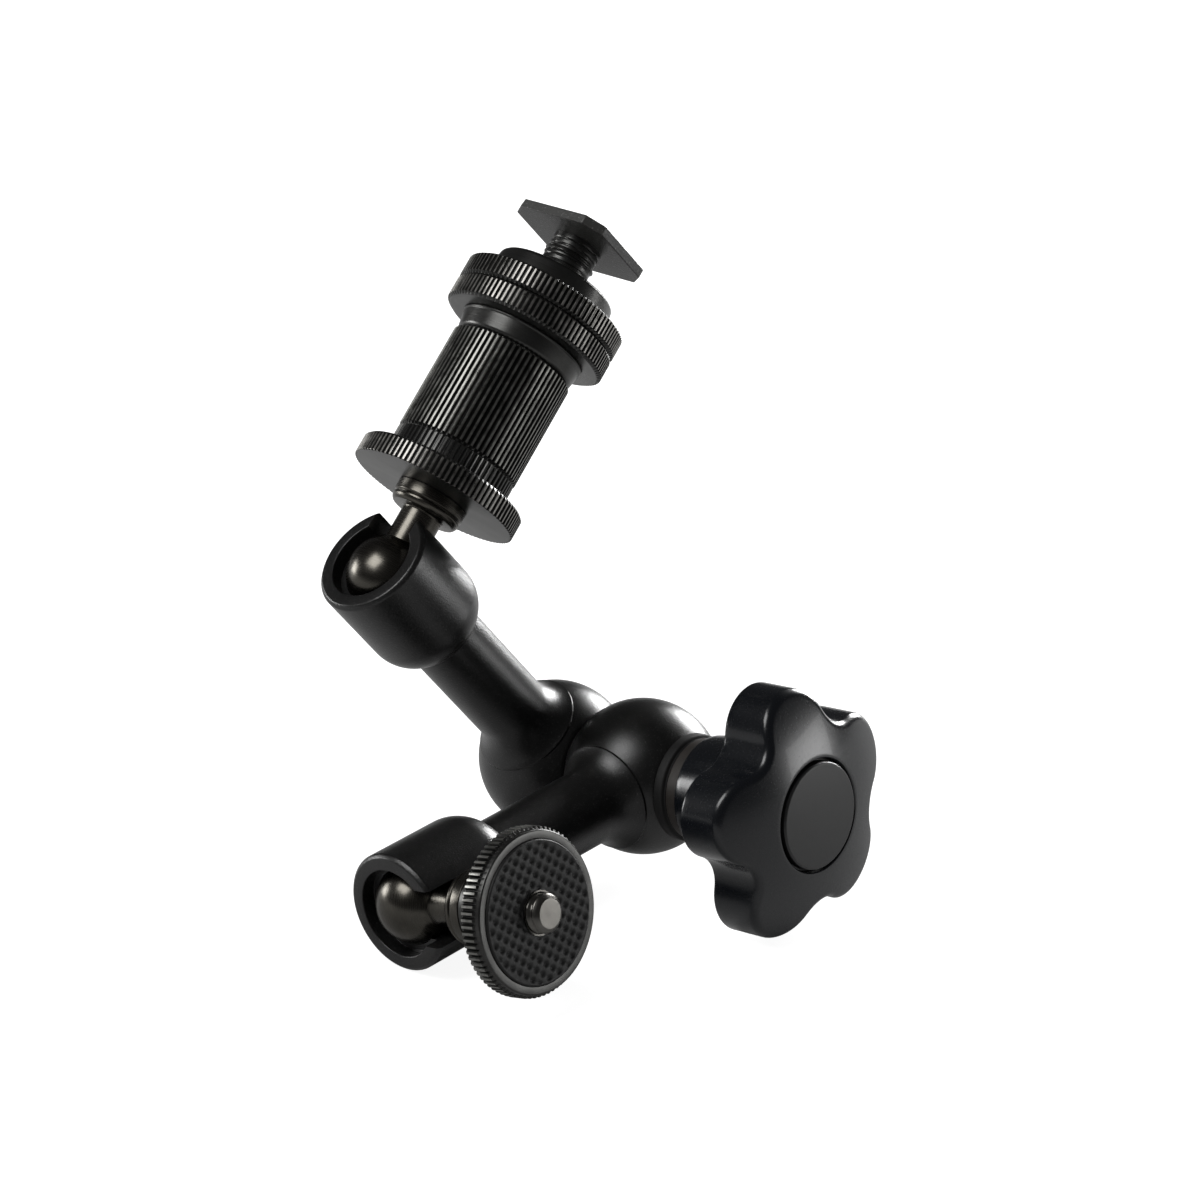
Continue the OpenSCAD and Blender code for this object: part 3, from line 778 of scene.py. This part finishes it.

# The ring between the hub and the sleeve is near black all over, darker than the arms, and fills the dark
# band there.
black_s, black_top, black_r, black_bore = 20.27, 22.28, 8.9, 3.0
black_ring = [(black_s, black_bore, 0), (black_s, black_r, 0.15), (black_top - 0.38, black_r, 0.4),
              (black_top - 0.18, 8.3, 0.1), (black_top, 8.2, 0), (black_top, black_bore, 0)]
fit(lathe("neck_ring", at_pivot, black_ring, 160, 30), "sleeve", "knob_washer", slot="washer_black")

sleeve_s, sleeve_top, sleeve_r = 22.35, 26.3, 8.4
sleeve = [(sleeve_s, bolt_bore, 0), (sleeve_s, sleeve_r - 0.2, 0.2), (sleeve_s + 0.25, sleeve_r, 0.2),
          (sleeve_top, sleeve_r, 0), (sleeve_top, bolt_bore, 0)]
fit(lathe("sleeve", at_pivot, sleeve, 160, 30), "sleeve", "knob_sleeve", slot="sleeve_brown")

# %% [markdown]
# The studio: a plain pale floor, soft lights from behind, the upper left, the right and the left,
# and an even white surround that the camera sees as pure white.

# %% Studio
def white_surround(seen, lit, mirrored):
    """A world that looks pure white to the camera, shines evenly on matt surfaces, and is dim in
    reflections, as a studio with dark walls is."""
    w = bpy.data.worlds.new("studio")
    bpy.context.scene.world = w
    w.use_nodes = True
    nt = w.node_tree
    light = nt.nodes["Background"]
    light.inputs["Color"].default_value = (1, 1, 1, 1)
    shown = nt.nodes.new("ShaderNodeBackground")
    shown.inputs["Color"].default_value = (1, 1, 1, 1)
    shown.inputs["Strength"].default_value = seen
    path = nt.nodes.new("ShaderNodeLightPath")
    dim = span(nt, path.outputs["Is Glossy Ray"], 0, 1, lit, mirrored)
    nt.links.new(dim, light.inputs["Strength"])
    mix = nt.nodes.new("ShaderNodeMixShader")
    nt.links.new(path.outputs["Is Camera Ray"], mix.inputs[0])
    nt.links.new(light.outputs[0], mix.inputs[1])
    nt.links.new(shown.outputs[0], mix.inputs[2])
    nt.links.new(mix.outputs[0], nt.nodes["World Output"].inputs["Surface"])


def soft_light(name, at, to, size, power):
    """A square light that faces a point."""
    data = bpy.data.lights.new(name, "AREA")
    data.size = size
    data.energy = power
    obj = bpy.data.objects.new(name, data)
    z = unit(np.array(at) - np.array(to))
    x = unit(np.cross((0, 0, 1.0), z))
    m = np.eye(4)
    m[:3, :3] = np.column_stack([x, np.cross(z, x), z])
    m[:3, 3] = at
    obj.matrix_world = Matrix(m.tolist())
    bpy.context.scene.collection.objects.link(obj)


def pale_floor(half, seen, plain, mirrored):
    """A square floor that glows for the camera alone, so that it looks white round a soft shadow. Its
    own grey is one value for plain rays and another in reflections."""
    corners = np.array([(-half, -half, 0), (half, -half, 0), (half, half, 0), (-half, half, 0)])
    floor = new_object("floor", corners, np.array([(0, 1, 2, 3)]))
    m, nt, b = tree("floor_white")
    b.inputs["Roughness"].default_value = 0.9
    b.inputs["Emission Color"].default_value = (1, 1, 1, 1)
    path = nt.nodes.new("ShaderNodeLightPath")
    grey = blend(nt, [plain] * 3, [mirrored] * 3, path.outputs["Is Glossy Ray"])
    nt.links.new(grey, b.inputs["Base Color"])
    glow = worked_out(nt, "MULTIPLY", path.outputs["Is Camera Ray"], seen)
    nt.links.new(glow, b.inputs["Emission Strength"])
    floor.data.materials.append(m)


white_surround(1.0, 0.25, 0.05)
pale_floor(3.0, 0.9, 0.4, 0.5)
middle = (0, 0, 0.05)
soft_light("behind", (0.5, 0.8, 0.3), middle, 0.36, 12)
soft_light("upper_left", (-0.55, -0.3, 0.75), middle, 0.5, 5)
soft_light("right", (0.9, 0.02, 0.02), middle, 0.35, 2.5)
soft_light("left", (-0.85, 0.3, 0.1), middle, 0.3, 3)

# %% [markdown]
# The camera stands where the photograph's did. Its three directions and its place were worked out
# from the photograph, and the lens from how strongly near parts look larger.

# %% Camera
cam = bpy.data.cameras.new("camera")
cam.sensor_width = 36
cam.lens = 103.23
cam.clip_start = 0.05
camera = bpy.data.objects.new("camera", cam)
look = np.array([[0.99883287, -0.04518045, -0.01707673], [0, 0.35355572, -0.93541347],
                 [0.04829998, 0.93432172, 0.35314307]])
stands_at = np.array([-10.012, -508.075, 244.580])
pose = np.eye(4)
pose[:3, :3] = look
pose[:3, 3] = stands_at * MM
camera.matrix_world = Matrix(pose.tolist())
bpy.context.scene.collection.objects.link(camera)
bpy.context.scene.camera = camera
bpy.context.scene.view_settings.view_transform = "Standard"
